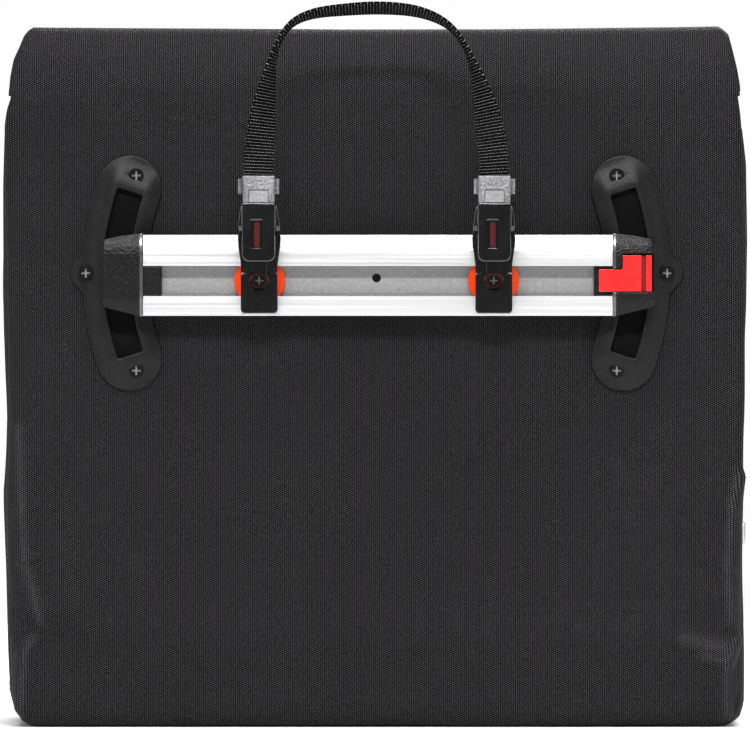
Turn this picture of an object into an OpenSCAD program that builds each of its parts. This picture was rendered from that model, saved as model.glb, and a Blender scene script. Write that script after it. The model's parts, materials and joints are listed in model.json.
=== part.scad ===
// Pannier bag with an aluminium hook rail, two latching hooks and a webbing handle.
// The rail side faces -Y, +X is to the right of that side, +Z is up.
// The origin is the middle of the bag's base. Sizes are in millimetres.

/* [Bag] */
// Width of the bag over its side panels
bag_w = 369; // [360:1:380]
// Height of the closed bag, over the flap
bag_h = 350; // [340:1:360]
// Depth from the back cloth to the front cloth
bag_d = 130; // [110:1:150]
// Thickness of the coated cloth with its seams
cloth_t = 2.4; // [1.6:0.2:2.6]
// Radius of the lower corners
corner_r = 12; // [8:1:20]
// Height of the fold line that the flap turns on
fold_z = 318; // [314:1:322]
// Height of the flap's front edge
flap_edge_z = 212; // [150:1:260]

/* [Rail] */
// Length of the aluminium rail between its end caps
rail_len = 235; // [225:1:240]
// Height of the rail
rail_h = 40.2; // [40:0.1:41]
// Height of the rail's pivot above the base
pivot_z = 224.4; // [220:0.2:228]
// Height of the slot arc's centre above the pivot
arc_rise = 2.5; // [1:0.5:3]
// Radius of the slot arc
arc_r = 129.5; // [128:0.5:130]
// Half angle of the arc slots
slot_half_deg = 18.3; // [18:0.1:19]

/* [Hooks] */
// Distance of each hook from the middle of the rail
hook_x = 58.3; // [50:0.1:70]
// Radius of the seat for the rack's tube
seat_r = 8.1; // [7:0.1:8.4]
// Radius of the adjusting wheel
wheel_r = 12.8; // [12:0.1:12.9]
// Number of teeth on the wheel's rim
wheel_teeth = 70; // [60:1:80]

/* [Handle] */
// Width of the handle webbing
strap_w = 14.75; // [12:0.25:15]
// Thickness of the handle webbing
strap_t = 1.6; // [1.2:0.1:1.8]

/* [Hidden] */
$fn = 64;

// bag
half_w = bag_w / 2;
back_y = -bag_d / 2;
front_y = bag_d / 2;
neck_half_w = half_w - 6;
neck_z = 300;
rim_z = 332;
fold_gap = 1.6;
board_t = 3;
board_half_w = 165;
board_top = 306;
// flap
flap_half_w = half_w - 1.5;
flap_r = 22;
skirt_z = fold_z - 1.5;
flap_gap = 2;
flap_front_y = front_y + flap_gap + cloth_t;
patch_t = 0.9;
patch_x = 110;
patch_w = 50;
patch_h = 40;
patch_z = flap_edge_z + 30;
// plates
arc_z = pivot_z + arc_rise;
slot_w = 13;
chamber_w = 19;
boss_w = 23;
flange_r = 130.6;
flange_w = 33;
flange_t = 2.2;
boss_t = 5.5;
boss_half_deg = 20.2;
screw_deg = 22.1;
tip_deg = 18.9;
screw_r = 2;
screw_head_r = 3.75;
screw_head_t = 2.4;
ear_x = 145.2;
ear_r = 7.8;
tip_r = flange_w / 2;
screw_points = [
    [arc_r * cos(screw_deg), arc_z + arc_r * sin(screw_deg)],
    [ear_x, arc_z],
    [arc_r * cos(screw_deg), arc_z - arc_r * sin(screw_deg)]
];
// rail
rail_back_y = back_y - 6;
rail_depth = 12;
rail_face_y = rail_back_y - rail_depth;
rail_mid_z = pivot_z + 1.2;
groove_z = pivot_z - 1.6;
groove_h = 15;
channel_h = 26.4;
lip_t = 2.5;
web_t = 3;
pivot_r = 2.15;
bore_gap = 0.05;
// caps and lock
cap_end = rail_len / 2 + 21.4;
left_trim = 1.3;
cap_front = 1;
cap_wall = 1.2;
cap_collar = 2;
slider_travel = 5;
slider_x = 122.6;
slider_end = 137.1;
slider_low = groove_z - 5.3;
slider_mid = groove_z + 5.9;
slider_high = groove_z + 12.9;
slider_tip = 110.7;
shoe_len = 12;
// hooks, with u measured outward from the rail's face
spine_u = 5;
seat_u = 13;
seat_z = 247;
leg_u = seat_u + 8;
leg_front = 30;
leg_half_w = 8.15;
hook_low = 206.7;
foot_half_w = 9.2;
foot_u = 5.8;
ledge_z = 226.2;
hook_top = 261;
leg_low = 232;
latch_u = 23;
latch_z = 236.5;
latch_pin_r = 1;
crank_r = 3;
crank_deg = -40;
bar_u = [27, 28.6];
bar_half_w = 2.6;
prong_x = [4.5, 6.2];
spindle_r = 3;
hex_r = 4.4;
riser_half_w = 3.2;
riser_top = 251;
wheel_u = [-8.2, -3.2];
spring_wire_r = 0.35;
// The handle's route: x, y, z and the webbing's turn about its own run.
handle_y = rail_face_y - 27;
handle_route = [
    [-58.3, handle_y, 263, 0], [-58.3, handle_y, 275, 0], [-58, handle_y, 286, 4],
    [-57, handle_y, 297, 20], [-55.5, handle_y, 309, 42], [-53.5, handle_y, 322, 66],
    [-50.5, handle_y, 335, 84], [-46, handle_y, 344, 84], [-40, handle_y, 350, 80],
    [-31, handle_y, 354, 74], [-18, handle_y, 356, 70], [0, handle_y, 357, 68],
    [15, handle_y, 356, 70], [26, handle_y, 353, 74], [35, handle_y, 348, 80],
    [41, handle_y, 341, 84], [46, handle_y, 332, 84], [50.5, handle_y, 320, 66],
    [53.5, handle_y, 308, 42], [56, handle_y, 297, 20], [57.5, handle_y, 286, 4],
    [58.3, handle_y, 275, 0], [58.3, handle_y, 263, 0]
];

// ---- helpers ----

// Extrudes an XZ outline from y0 to y1.
module along_y(y0, y1) {
    translate([0, y1, 0]) rotate([90, 0, 0]) linear_extrude(y1 - y0) children();
}

// Extrudes a YZ outline from x0 to x1.
module along_x(x0, x1) {
    translate([x0, 0, 0]) rotate([90, 0, 90]) linear_extrude(x1 - x0) children();
}

module rod_y(r, y0, y1) {
    translate([0, y1, 0]) rotate([90, 0, 0]) cylinder(r = r, h = y1 - y0);
}

module rod_x(r, x0, x1) {
    translate([x0, 0, 0]) rotate([0, 90, 0]) cylinder(r = r, h = x1 - x0);
}

module box(low, high) {
    translate(low) cube(high - low);
}

// Places a hook's own parts: x across, y outward from the rail's face, z up.
module at_hook(side) {
    translate([side * hook_x, rail_face_y, 0]) mirror([0, 1, 0]) children();
}

module on_side(side) {
    if (side < 0) {
        mirror([1, 0, 0]) children();
    } else {
        children();
    }
}

function unit(v) = v / norm(v);

// A closed tube of triangles through rings that all have the same number of points.
module rings(points, count, sides) {
    walls = [for (i = [0:count - 2], j = [0:sides - 1], half = [0, 1])
        let (a = i * sides + j, b = i * sides + (j + 1) % sides)
        half == 0 ? [a, b, b + sides] : [a, b + sides, a + sides]];
    first = [[for (j = [sides - 1:-1:0]) j]];
    last = [[for (j = [0:sides - 1]) (count - 1) * sides + j]];
    polyhedron(points = points, faces = concat(first, walls, last));
}

// A helical spring along +Z from z = 0.
module coil_spring(r, wire_r, turns, length) {
    steps = turns * 12;
    sides = 6;
    points = [for (i = [0:steps], j = [0:sides - 1])
        let (a = i * 30, b = -j * 360 / sides)
        [
            (r + wire_r * cos(b)) * cos(a),
            (r + wire_r * cos(b)) * sin(a),
            wire_r + (length - 2 * wire_r) * i / steps - wire_r * sin(b)
        ]];
    rings(points, steps + 1, sides);
}

// ---- bag ----

// The bag seen from its back: straight sides, round lower corners and a narrower neck.
module bag_outline(inset, top) {
    x = half_w - inset;
    neck = neck_half_w - inset;
    polygon([
        [-x, corner_r], [x, corner_r], [x, neck_z], [neck, neck_z + 8],
        [neck, top], [-neck, top], [-neck, neck_z + 8], [-x, neck_z]
    ]);
    translate([-half_w + corner_r, inset]) square([bag_w - 2 * corner_r, corner_r]);
    for (side = [-1, 1]) {
        translate([side * (half_w - corner_r), corner_r]) circle(r = corner_r - inset);
    }
}

module back_outline() {
    top = fold_z - fold_gap;
    translate([-half_w, corner_r]) square([bag_w, top - corner_r]);
    translate([-half_w + corner_r, 0]) square([bag_w - 2 * corner_r, corner_r]);
    for (side = [-1, 1]) {
        translate([side * (half_w - corner_r), corner_r]) circle(r = corner_r);
    }
}

module screw_holes(r, y0, y1) {
    for (side = [-1, 1], p = screw_points) {
        translate([side * p[0], 0, p[1]]) rod_y(r, y0, y1);
    }
}

module back_panel() {
    color([0.07, 0.07, 0.075]) difference() {
        along_y(back_y, back_y + cloth_t) back_outline();
        screw_holes(screw_r + 0.2, back_y - 1, back_y + cloth_t + 1);
        translate([0, 0, pivot_z]) rod_y(3.2, back_y - 1, back_y + cloth_t + 1);
    }
}

module front_panel() {
    color([0.07, 0.07, 0.075]) along_y(front_y - cloth_t, front_y) bag_outline(0, rim_z);
}

// The strip of cloth between the back and the front, on one side.
module gusset(side) {
    color([0.1, 0.1, 0.105]) difference() {
        along_y(back_y + cloth_t, front_y - cloth_t) difference() {
            bag_outline(0, rim_z);
            bag_outline(cloth_t, rim_z + 1);
            translate([-half_w + corner_r, -1]) square([bag_w - 2 * corner_r, corner_r]);
            translate([side < 0 ? 0 : -half_w - 1, -1]) square([half_w + 1, bag_h]);
            translate([-neck_half_w + cloth_t, rim_z - 1])
                square([2 * (neck_half_w - cloth_t), 2]);
        }
        box([-half_w, back_y, skirt_z - 4], [half_w, back_y + cloth_t + 3, bag_h]);
    }
}

module gusset_left() {
    gusset(-1);
}

module gusset_right() {
    gusset(1);
}

module bottom_panel() {
    color([0.09, 0.09, 0.095]) box(
        [-half_w + corner_r, back_y + cloth_t, 0],
        [half_w - corner_r, front_y - cloth_t, cloth_t]
    );
}

module back_board() {
    color([0.16, 0.16, 0.17]) difference() {
        box(
            [-board_half_w, back_y + cloth_t, corner_r],
            [board_half_w, back_y + cloth_t + board_t, board_top]
        );
        screw_holes(screw_r + 0.2, back_y, back_y + 10);
        translate([0, 0, pivot_z]) rod_y(3.2, back_y, back_y + 10);
    }
}

module bottom_board() {
    color([0.16, 0.16, 0.17]) box(
        [-board_half_w, back_y + cloth_t + board_t + 1, cloth_t],
        [board_half_w, front_y - cloth_t - 2, cloth_t + board_t]
    );
}

module patches(y0, y1) {
    for (side = [-1, 1]) {
        box([side * patch_x - patch_w / 2, y0, patch_z],
            [side * patch_x + patch_w / 2, y1, patch_z + patch_h]);
    }
}

module loop_patches() {
    color([0.12, 0.12, 0.12]) patches(front_y, front_y + patch_t);
}

module hook_patches() {
    color([0.05, 0.05, 0.05]) patches(front_y + flap_gap - patch_t, front_y + flap_gap);
}

// A folded reflective tab in the right side seam.
module side_tab() {
    color([0.7, 0.71, 0.72]) box([half_w, back_y + 6, 91], [half_w + 1.2, back_y + 26, 102]);
}

module corner_eyelet() {
    color([0.6, 0.6, 0.62]) translate([-half_w, back_y + 14, 20]) difference() {
        rod_x(3, -0.8, 0);
        rod_x(1.5, -1, 1);
    }
}

// ---- flap ----

// The flap's outline from the back, inset by the cloth's thickness for its inside.
module flap_outline(inset) {
    x = flap_half_w - inset;
    polygon([
        [-x + 14, flap_edge_z], [x - 14, flap_edge_z], [x - 2, flap_edge_z + 14],
        [x, skirt_z], [x - 0.5, bag_h - 25], [x - 2, bag_h - 16.5], [x - 5.2, bag_h - 10],
        [x - 9.5, bag_h - inset], [-x + 9.5, bag_h - inset],
        [-x + 5.2, bag_h - 10], [-x + 2, bag_h - 16.5], [-x + 0.5, bag_h - 25],
        [-x, skirt_z], [-x + 2, flap_edge_z + 14]
    ]);
}

// The flap's run over the top, seen from the side.
module flap_profile(inset, low) {
    r = flap_r - inset;
    y0 = back_y + inset;
    y1 = flap_front_y - inset;
    top = bag_h - inset;
    translate([y0, low]) square([y1 - y0, top - r - low]);
    translate([y0 + r, low]) square([y1 - y0 - 2 * r, top - low]);
    intersection() {
        union() {
            translate([y0 + r, top - r]) circle(r = r);
            translate([y1 - r, top - r]) circle(r = r);
        }
        translate([y0, top - r]) square([y1 - y0, r]);
    }
}

module flap() {
    color([0.08, 0.08, 0.085]) {
        difference() {
            intersection() {
                along_y(back_y, flap_front_y) flap_outline(0);
                along_x(-half_w, half_w) {
                    flap_profile(0, fold_z);
                    translate([back_y + 4, skirt_z])
                        square([flap_front_y - back_y - 4, fold_z - skirt_z]);
                    translate([flap_front_y - cloth_t, flap_edge_z])
                        square([cloth_t, fold_z - flap_edge_z]);
                }
            }
            intersection() {
                along_y(back_y + cloth_t, flap_front_y - cloth_t) flap_outline(cloth_t);
                along_x(-half_w, half_w) flap_profile(cloth_t, flap_edge_z);
            }
        }
        translate([0, back_y + cloth_t / 2, fold_z])
            rod_x(cloth_t / 2, -flap_half_w + 2, flap_half_w - 2);
    }
}

// ---- plates ----

// A band about the slot arc's centre, given by its middle radius, width and half angle.
module arc_band(radius, width, half_deg) {
    reach = radius * 2;
    intersection() {
        difference() {
            circle(r = radius + width / 2, $fn = 128);
            circle(r = radius - width / 2, $fn = 128);
        }
        polygon([
            [0, 0], [reach * cos(half_deg), -reach * sin(half_deg)],
            [reach * cos(half_deg), reach * sin(half_deg)]
        ]);
    }
}

module plate_flange() {
    arc_band(flange_r, flange_w, tip_deg);
    for (way = [-1, 1]) {
        translate([flange_r * cos(tip_deg), way * flange_r * sin(tip_deg)]) circle(r = tip_r);
    }
    translate([ear_x, 0]) circle(r = ear_r);
    polygon([
        [arc_r, 0], [ear_x + 1.1, -ear_r - 2.6], [ear_x + 5.8, -5.2],
        [ear_x + 5.8, 5.2], [ear_x + 1.1, ear_r + 2.6]
    ]);
}

// An arc-slotted plate; the slot has an undercut chamber for the rail's shoe.
module plate(side) {
    boss_y = back_y - boss_t;
    color([0.09, 0.09, 0.095]) on_side(side) difference() {
        translate([0, 0, arc_z]) {
            along_y(back_y - flange_t, back_y) plate_flange();
            along_y(boss_y, back_y) arc_band(arc_r, boss_w, boss_half_deg);
        }
        translate([0, 0, arc_z]) {
            along_y(boss_y - 1, back_y - 1) arc_band(arc_r, slot_w, slot_half_deg);
            along_y(boss_y + 2, back_y - 1) arc_band(arc_r, chamber_w, slot_half_deg + 0.3);
        }
        for (p = screw_points) {
            translate([p[0], 0, p[1]]) rod_y(screw_r + 0.1, back_y - boss_t - 1, back_y + 1);
        }
    }
}

module plate_left() {
    plate(-1);
}

module plate_right() {
    plate(1);
}

// A pan-head screw with a cross recess; its tip points to +Y.
module plate_screw() {
    head_y = back_y - flange_t;
    difference() {
        union() {
            rod_y(screw_head_r, head_y - screw_head_t, head_y);
            rod_y(screw_r, head_y - 0.5, back_y + cloth_t + board_t + 5);
        }
        for (turn = [0, 90]) {
            rotate([0, turn, 0])
                box([-2.2, head_y - screw_head_t - 1, -0.45], [2.2, head_y - screw_head_t + 1.2, 0.45]);
        }
    }
}

module plate_screws() {
    color([0.05, 0.05, 0.05]) for (side = [-1, 1], p = screw_points) {
        translate([side * p[0], 0, p[1]]) plate_screw();
    }
}

module plate_nuts() {
    nut_y = back_y + cloth_t + board_t;
    color([0.55, 0.55, 0.57]) for (side = [-1, 1], p = screw_points) {
        translate([side * p[0], 0, p[1]]) difference() {
            translate([0, nut_y + 3.2, 0]) rotate([90, 0, 0]) cylinder(r = 4, h = 3.2, $fn = 6);
            rod_y(screw_r + 0.05, nut_y - 1, nut_y + 5);
        }
    }
}

// The stud that the rail turns on, held by a flange inside the back board.
module pivot_stud() {
    inner_y = back_y + cloth_t + board_t;
    color([0.12, 0.12, 0.12]) translate([0, 0, pivot_z]) {
        rod_y(8, inner_y, inner_y + 2);
        rod_y(3, back_y - 0.5, inner_y + 1);
        rod_y(8, rail_back_y + 0.2, back_y);
        rod_y(pivot_r, rail_back_y - web_t + 0.6, back_y - 0.5);
    }
}

// ---- rail ----

// The rail's section in y and z: a web, two lips and the channel behind them.
module rail_section() {
    low = rail_mid_z - rail_h / 2;
    difference() {
        translate([rail_face_y, low]) square([rail_depth, rail_h]);
        translate([rail_face_y + lip_t, groove_z - channel_h / 2])
            square([rail_depth - lip_t - web_t, channel_h]);
        translate([rail_face_y - 1, groove_z - groove_h / 2])
            square([lip_t + 2, groove_h]);
        translate([rail_face_y - 0.1, low + rail_h - 7]) square([0.5, 0.8]);
        for (z = [low, low + rail_h]) {
            translate([rail_face_y, z]) rotate(45) square(0.9, center = true);
        }
    }
}

module rail() {
    color([0.72, 0.72, 0.73]) difference() {
        along_x(left_trim - rail_len / 2, rail_len / 2) rail_section();
        translate([0, 0, pivot_z])
            rod_y(pivot_r + bore_gap, rail_back_y - web_t - 1, rail_back_y + 1);
    }
}

// The tapering outline of an end cap, seen from the front.
module cap_outline() {
    x0 = rail_len / 2;
    polygon([
        [x0, rail_mid_z - 20.6], [x0 + 2, rail_mid_z - 20.4], [x0 + 11.7, rail_mid_z - 17.9],
        [cap_end - 2.4, rail_mid_z - 16], [cap_end - 0.9, rail_mid_z - 14.9],
        [cap_end, rail_mid_z - 12.8], [cap_end, rail_mid_z + 14.2],
        [cap_end - 0.6, rail_mid_z + 16.4], [cap_end - 2, rail_mid_z + 17.9],
        [x0 + 11.7, rail_mid_z + 19.7], [x0 + 2, rail_mid_z + 20.8], [x0, rail_mid_z + 21]
    ]);
}

// The cap's body, with a plug that fills the end of the rail's channel.
module cap_block() {
    y0 = rail_face_y - cap_front;
    difference() {
        along_y(y0, rail_back_y) cap_outline();
        box([rail_len / 2 + 1.8, y0 - 1, rail_mid_z - 30], [rail_len / 2 + 2.4, y0 + 0.6, rail_mid_z + 30]);
    }
    box(
        [rail_len / 2 - 9.2, rail_face_y + lip_t + 0.3, groove_z - channel_h / 2 + 0.3],
        [rail_len / 2 + 1, rail_back_y - web_t - 0.3, groove_z + channel_h / 2 - 0.3]
    );
}

module cap_left() {
    color([0.08, 0.08, 0.085]) mirror([1, 0, 0]) translate([-left_trim, 0, 0]) {
        intersection() {
            cap_block();
            box([0, rail_face_y - 5, 0], [cap_end - 1.2, back_y, 300]);
        }
        box(
            [rail_len / 2 - 8.8, rail_face_y + 0.3, groove_z - groove_h / 2 + 0.4],
            [rail_len / 2 + 1, rail_face_y + lip_t + 1, groove_z + groove_h / 2 - 0.4]
        );
    }
}

// The right cap has a window and a pocket for the lock slider and its spring.
module cap_right() {
    front = rail_face_y - cap_front;
    inner = front + cap_wall;
    color([0.08, 0.08, 0.085]) difference() {
        cap_block();
        box([slider_x - slider_travel - 0.3, inner, slider_low - 0.3],
            [slider_end + 0.8, inner + 2.4, slider_high + 0.7]);
        box([rail_len / 2 - 1, inner, slider_low - 0.3],
            [slider_x, inner + 2.4, slider_mid + 0.3]);
        box([slider_x - 0.4, front - 1, slider_low - 0.4],
            [slider_end + 0.8, inner + 0.5, slider_high + 0.7]);
        box([rail_len / 2 - 1, front - 1, slider_low - 0.4],
            [slider_x, inner + 0.5, slider_mid + 0.4]);
        box([slider_x - 5.3, inner + 2, slider_low + 1.9],
            [slider_end - 0.3, inner + 6.8, slider_low + 7.1]);
    }
}

// The T-shaped shoe under a cap, captive in a plate's arc slot.
module shoe(side) {
    chamber_y = back_y - boss_t + 2;
    color([0.2, 0.2, 0.21]) on_side(side) {
        box([arc_r - 5.5, chamber_y, arc_z - shoe_len / 2],
            [arc_r + 5.5, chamber_y + 0.3, arc_z + shoe_len / 2]);
        box([arc_r - 5.5, rail_back_y, arc_z - shoe_len / 2],
            [arc_r + 5.5, chamber_y + 0.3, arc_z + shoe_len / 2]);
        box([arc_r - 8.5, chamber_y + 0.3, arc_z - shoe_len / 2],
            [arc_r + 8.5, back_y - 1.3, arc_z + shoe_len / 2]);
    }
}

module shoe_left() {
    shoe(-1);
}

module shoe_right() {
    shoe(1);
}

// The L-shaped slider: a tongue in the rail's groove and a wide pad behind the cap's window.
module lock_slider() {
    y0 = rail_face_y - cap_front + cap_wall + 0.2;
    color([0.75, 0.08, 0.06]) difference() {
        union() {
            box([slider_tip, y0, slider_low], [slider_end, y0 + 2, slider_mid]);
            box([slider_x, y0, slider_low], [slider_end, y0 + 2, slider_high]);
            box([slider_end - 2.2, y0 + 1, slider_low + 2.5], [slider_end - 0.8, y0 + 6, slider_low + 6.5]);
        }
        box([slider_end - 5.2, y0 - 1, slider_low - 1], [slider_end - 3, y0 + 1.3, slider_high + 1]);
    }
}

module lock_spring() {
    y = rail_face_y - cap_front + cap_wall + 4.6;
    x0 = slider_x - 5;
    color([0.6, 0.6, 0.62]) translate([x0, y, slider_low + 4.5]) rotate([0, 90, 0])
        coil_spring(1.6, 0.3, 6, slider_end - 2.4 - x0);
}

// ---- hooks ----

// The hook's front outline behind its outer leg, with flanks that swell beside the seat.
module hook_outline() {
    polygon([
        [-foot_half_w, hook_low + 1.8], [-foot_half_w + 1.8, hook_low],
        [foot_half_w - 1.8, hook_low], [foot_half_w, hook_low + 1.8],
        [foot_half_w, 231], [9.7, 235], [10.5, 240], [10.75, 244],
        [10.4, 250], [9.6, 256], [8.6, hook_top], [-8.6, hook_top], [-9.6, 256],
        [-10.4, 250], [-10.75, 244], [-10.5, 240], [-9.7, 235], [-foot_half_w, 231]
    ]);
}

// The thicker face below the ledge, with round lower corners, seen from the front.
module foot_outline() {
    r = 1.8;
    translate([-foot_half_w, hook_low + r]) square([2 * foot_half_w, ledge_z - hook_low - r]);
    translate([-foot_half_w + r, hook_low]) square([2 * (foot_half_w - r), r + 1]);
    for (side = [-1, 1]) {
        translate([side * (foot_half_w - r), hook_low + r]) circle(r = r);
    }
}

// The hook's side section: spine, arch and the root of its outer leg, in u and z.
module hook_section() {
    difference() {
        union() {
            translate([0.3, hook_low]) square([spine_u - 0.3, hook_top - hook_low - 3]);
            translate([3.3, hook_top - 3]) circle(r = 3);
            translate([3.3, seat_z]) square([leg_u - 3.3, hook_top - seat_z]);
            translate([0.3, seat_z]) square([4, hook_top - 3 - seat_z]);
        }
        translate([seat_u, seat_z]) circle(r = seat_r);
        translate([spine_u, hook_low]) square([40, seat_z - hook_low]);
    }
}

// The outer leg with its round lower corners, seen from the front.
module leg_outline() {
    r = 3.5;
    translate([-leg_half_w, leg_low + r]) square([2 * leg_half_w, hook_top - leg_low - r]);
    translate([-leg_half_w + r, leg_low]) square([2 * (leg_half_w - r), r + 1]);
    for (side = [-1, 1]) {
        translate([side * (leg_half_w - r), leg_low + r]) circle(r = r);
    }
}

module hook_body(side) {
    cavity = [leg_u + 1.2, bar_u[1] + 0.2];
    cavity_half = leg_half_w - 1.75;
    color([0.06, 0.06, 0.065]) at_hook(side) difference() {
        union() {
            intersection() {
                along_x(-11, 11) hook_section();
                along_y(-1, leg_u + 1) hook_outline();
            }
            difference() {
                along_y(leg_u - 0.5, leg_front) leg_outline();
                translate([0, seat_u, seat_z]) rod_x(seat_r, -12, 12);
                box([-12, 0, hook_low], [12, leg_u, seat_z]);
            }
            along_y(spine_u - 0.5, foot_u) foot_outline();
            box([-foot_half_w, -lip_t - 0.3, groove_z - groove_h / 2 + 0.3],
                [foot_half_w, 0.5, groove_z + groove_h / 2 - 0.3]);
        }
        // the hollow of the leg, open at its foot and inward beside the latch
        box([-cavity_half, cavity[0], leg_low - 1], [cavity_half, cavity[1], 259]);
        box([-cavity_half, leg_u - 2, leg_low - 1], [cavity_half, cavity[1], 240.2]);
        box([-bar_half_w - 0.2, bar_u[0] - 0.2, 258], [bar_half_w + 0.2, bar_u[1] + 0.2, hook_top + 1]);
        box([-2.25, bar_u[1], 239.2], [0.6, leg_front + 1, 252]);
        box([-4.1, leg_front - 0.2, 238.5], [1.9, leg_front + 1, 252.8]);
        translate([0, latch_u, latch_z]) rod_x(latch_pin_r + 0.02, -leg_half_w + 0.4, leg_half_w - 0.4);
        // the pocket of the red adjuster
        translate([0, 6, groove_z]) rotate([90, 0, 0]) cylinder(r = hex_r + 0.4, h = 12, $fn = 6);
        box([-riser_half_w - 0.3, 2.9, groove_z], [riser_half_w + 0.3, spine_u + 1, riser_top + 0.4]);
    }
}

module hook_left() {
    hook_body(-1);
}

module hook_right() {
    hook_body(1);
}

// The forked latch that closes the seat from below, with the crank that opens it.
module latch(side) {
    crank = [latch_u + crank_r * cos(crank_deg), latch_z + crank_r * sin(crank_deg)];
    color([0.08, 0.08, 0.08]) at_hook(side) difference() {
        union() {
            for (way = [-1, 1]) {
                inner = way < 0 ? -prong_x[1] : prong_x[0];
                along_x(inner, inner + prong_x[1] - prong_x[0]) polygon([
                    [latch_u, latch_z + 1.8], [20.5, latch_z + 1.8], [7.2, 236.8],
                    [6.5, 235.4], [8, 234], [21, latch_z - 1.9], [latch_u, latch_z - 1.9]
                ]);
            }
            translate([0, latch_u, latch_z]) rod_x(1.9, -prong_x[1], prong_x[1]);
            translate([0, latch_u, latch_z]) rotate([crank_deg, 0, 0])
                box([-2.4, 0, -0.5], [2.4, crank_r, 0.5]);
            translate([0, crank[0], crank[1]]) rod_x(0.8, -2.4, 2.4);
        }
        translate([0, latch_u, latch_z]) rod_x(latch_pin_r + bore_gap, -8, 8);
    }
}

module latch_left() {
    latch(-1);
}

module latch_right() {
    latch(1);
}

module latch_pin(side) {
    color([0.6, 0.6, 0.62]) at_hook(side) translate([0, latch_u, latch_z])
        rod_x(latch_pin_r, -leg_half_w + 0.5, leg_half_w - 0.5);
}

module latch_pin_left() {
    latch_pin(-1);
}

module latch_pin_right() {
    latch_pin(1);
}

module latch_spring(side) {
    color([0.6, 0.6, 0.62]) at_hook(side) translate([0, 24.6, 243.1])
        coil_spring(1.5, spring_wire_r, 6, 15.8);
}

module latch_spring_left() {
    latch_spring(-1);
}

module latch_spring_right() {
    latch_spring(1);
}

// The toothed rim as one outline of tips and roots.
module wheel_outline() {
    polygon([for (i = [0:2 * wheel_teeth - 1])
        let (r = i % 2 == 0 ? wheel_r : wheel_r - 0.5, a = i * 180 / wheel_teeth)
        [r * cos(a), r * sin(a)]]);
}

module wheel(side) {
    color([0.95, 0.42, 0.05]) at_hook(side) translate([0, 0, groove_z]) difference() {
        along_y(wheel_u[0], wheel_u[1]) wheel_outline();
        rod_y(spindle_r + 0.02, wheel_u[0] - 1, wheel_u[1] + 1);
    }
}

module wheel_left() {
    wheel(-1);
}

module wheel_right() {
    wheel(1);
}

// The screw that turns with the wheel, with a cross recess in its outer end.
module wheel_screw(side) {
    color([0.08, 0.08, 0.08]) at_hook(side) translate([0, 0, groove_z]) difference() {
        rod_y(spindle_r, wheel_u[0] + 0.1, spine_u - 0.5);
        for (turn = [0, 90]) {
            rotate([0, turn, 0]) box([-2.1, spine_u - 1.8, -0.4], [2.1, spine_u + 1, 0.4]);
        }
    }
}

module wheel_screw_left() {
    wheel_screw(-1);
}

module wheel_screw_right() {
    wheel_screw(1);
}

// The red insert: a hexagonal nut round the screw and a riser that narrows the seat.
module adjuster(side) {
    color([0.7, 0.07, 0.05]) at_hook(side) difference() {
        union() {
            translate([0, spine_u - 1.2, groove_z]) rotate([90, 0, 0])
                cylinder(r = hex_r, h = spine_u + 1.3, $fn = 6);
            box([-riser_half_w, 3.2, groove_z + 3.1], [riser_half_w, spine_u - 0.2, riser_top]);
        }
        translate([0, 0, groove_z]) rod_y(spindle_r + bore_gap, -5, spine_u + 1);
    }
}

module adjuster_left() {
    adjuster(-1);
}

module adjuster_right() {
    adjuster(1);
}

// ---- handle ----

// The bar in the leg: a foot under the crank, a shelf for the spring and a tab at the top.
module pull_bar(side) {
    color([0.45, 0.05, 0.04]) at_hook(side) {
        box([-bar_half_w, bar_u[0], 232.4], [bar_half_w, bar_u[1], 263]);
        box([-2.4, 25.1, 232.4], [2.4, bar_u[1], 233.6]);
        box([-bar_half_w, 22.6, 241.8], [bar_half_w, bar_u[1], 243]);
        box([-4.7, bar_u[0], 261.4], [4.7, 29.8, 263]);
        box([-4.7, 28.7, 261.4], [4.7, 29.8, 267.2]);
    }
}

module pull_bar_left() {
    pull_bar(-1);
}

module pull_bar_right() {
    pull_bar(1);
}

// The clip's section from above: its front edges turn back towards its sides.
module clip_outline() {
    polygon([
        [-8, 25], [8, 25], [8, 28.3], [7.5, 29.3], [6.5, 30], [5.2, 30.4],
        [-5.2, 30.4], [-6.5, 30], [-7.5, 29.3], [-8, 28.3]
    ]);
}

// The clip that holds the webbing's end; its front leans back, and an ear stands off each side.
module strap_clip(side) {
    color([0.06, 0.06, 0.065]) at_hook(side) difference() {
        union() {
            box([-10.2, 25, 265.5], [10.2, 28.8, 273]);
            intersection() {
                translate([0, 0, 261.2]) linear_extrude(13.3) clip_outline();
                along_x(-9, 9) polygon([
                    [25, 263.2], [28, 263.2], [28, 261.2], [30.4, 261.2], [30.4, 262.4],
                    [28.9, 274.5], [25, 274.5]
                ]);
            }
        }
        for (side = [-1, 1]) {
            box([side * 8.4 - 0.4, 27.2, 260], [side * 8.4 + 0.4, 31, 276]);
        }
        box([-7.45, 26.1, 262.9], [7.45, 27.9, 276]);
        box([-4.9, 28, 260], [4.9, 31, 267.5]);
        box([-4.9, 26.8, 260], [4.9, 31, 263.2]);
    }
}

module strap_clip_left() {
    strap_clip(-1);
}

module strap_clip_right() {
    strap_clip(1);
}

// Four corners of the webbing's section at point i of the route.
function strap_ring(i) = let (
    last = len(handle_route) - 1,
    here = handle_route[i],
    next = handle_route[min(i + 1, last)],
    before = handle_route[max(i - 1, 0)],
    run = unit([next[0] - before[0], 0, next[2] - before[2]]),
    across = [run[2], 0, -run[0]],
    wide = across * cos(here[3]) + [0, 1, 0] * sin(here[3]),
    thick = cross(run, wide),
    centre = [here[0], here[1], here[2]],
    w = strap_w / 2,
    t = strap_t / 2
) [
    centre + wide * w + thick * t, centre + wide * w - thick * t,
    centre - wide * w - thick * t, centre - wide * w + thick * t
];

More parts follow.
